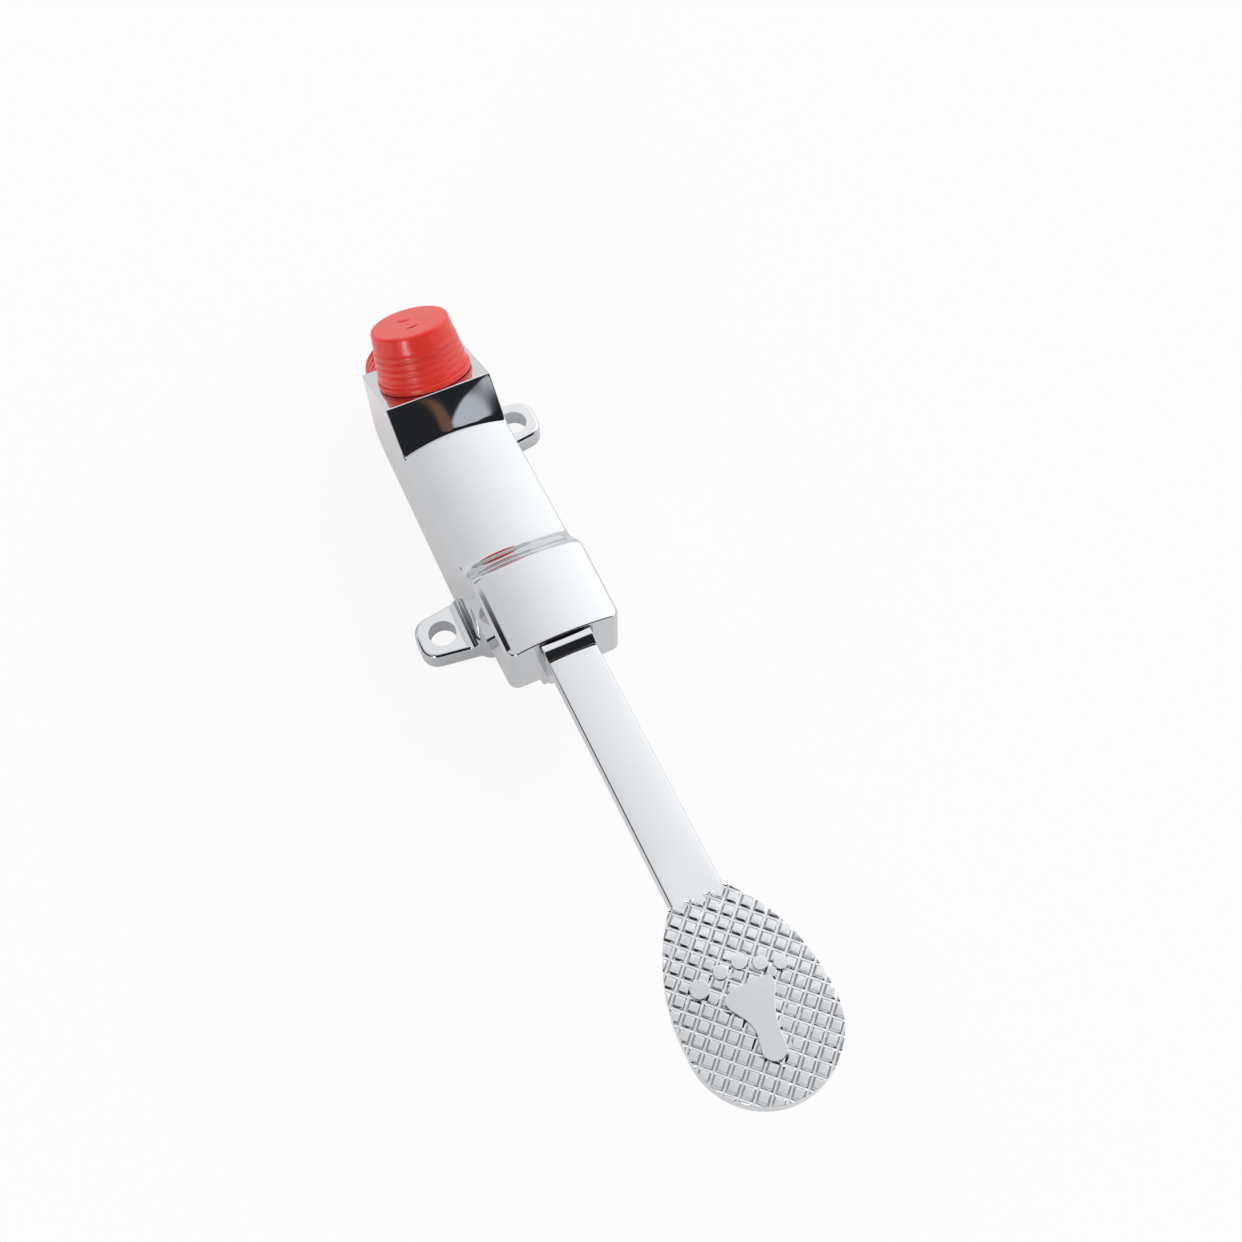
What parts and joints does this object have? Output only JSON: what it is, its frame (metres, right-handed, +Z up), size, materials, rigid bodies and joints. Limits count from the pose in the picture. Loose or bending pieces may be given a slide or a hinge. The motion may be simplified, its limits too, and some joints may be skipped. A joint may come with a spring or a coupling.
{
  "type": "foot pedal tap valve",
  "caption": "Floor-mounted foot pedal valve: chromed body with diagonal floor ears, hinged lever with a waffle tread plate, sloping outlet and rear inlet under red thread caps.",
  "frame": {"origin": "on the floor plane, midway between the two floor holes", "axes": "+Z up off the floor, +Y along the body from the pedal back to the inlet, +X to the right seen from the pedal"},
  "size_m": [0.057, 0.2334, 0.0526],
  "materials": {
    "chrome": "polished chrome plate on cast brass",
    "red_plastic": "translucent red polyethylene, moulded",
    "brass": "machined",
    "steel": "turned stainless steel",
    "rubber": "moulded nitrile rubber",
    "acetal": "natural white acetal",
    "fibre": "pressed fibre"
  },
  "bodies": {
    "body": {"valve_body": "chrome", "hinge_pin": "steel", "pin_plug": "chrome", "gland_nut": "brass", "gland_washer": "fibre", "gland_bush": "acetal", "plunger_seals": "rubber", "valve_seat": "brass", "seat_seal": "rubber", "return_spring": "steel", "spring_retainer": "steel", "inlet_strainer": "steel", "inlet_nipple": "brass", "inlet_gasket": "fibre", "outlet_nipple": "brass", "outlet_gasket": "fibre"},
    "pedal": {"pedal_lever": "chrome", "pivot_bushes": "acetal"},
    "plunger": {"plunger_rod": "steel", "thrust_cap": "acetal", "valve_disc": "rubber", "disc_holder": "brass", "disc_nut": "brass"},
    "outlet_cap": {"outlet_cap": "red_plastic"},
    "inlet_cap": {"inlet_cap": "red_plastic"}
  },
  "joints": [
    {"name": "pedal_hinge", "type": "hinge", "parent": "body", "child": "pedal", "pos_m": [0, -0.0525, 0.0385], "axis": [1, 0, 0], "range_deg": [0, 12], "stiffness_Nm_per_rad": 1.8, "springref_deg": -11.46},
    {"name": "plunger_slide", "type": "slide", "parent": "body", "child": "plunger", "axis": [0, 1, 0], "range_m": [0, 0.0052], "deforming": ["return_spring"]},
    {"name": "outlet_cap_pull", "type": "slide", "parent": "body", "child": "outlet_cap", "axis": [0, 0.5, 0.866], "range_m": [0, 0.025]},
    {"name": "inlet_cap_pull", "type": "slide", "parent": "body", "child": "inlet_cap", "axis": [0, 1, 0], "range_m": [0, 0.025]}
  ],
  "couplings": [
    {"joint": "plunger_slide", "follows": "pedal_hinge", "m_per_rad": 0.0245}
  ]
}
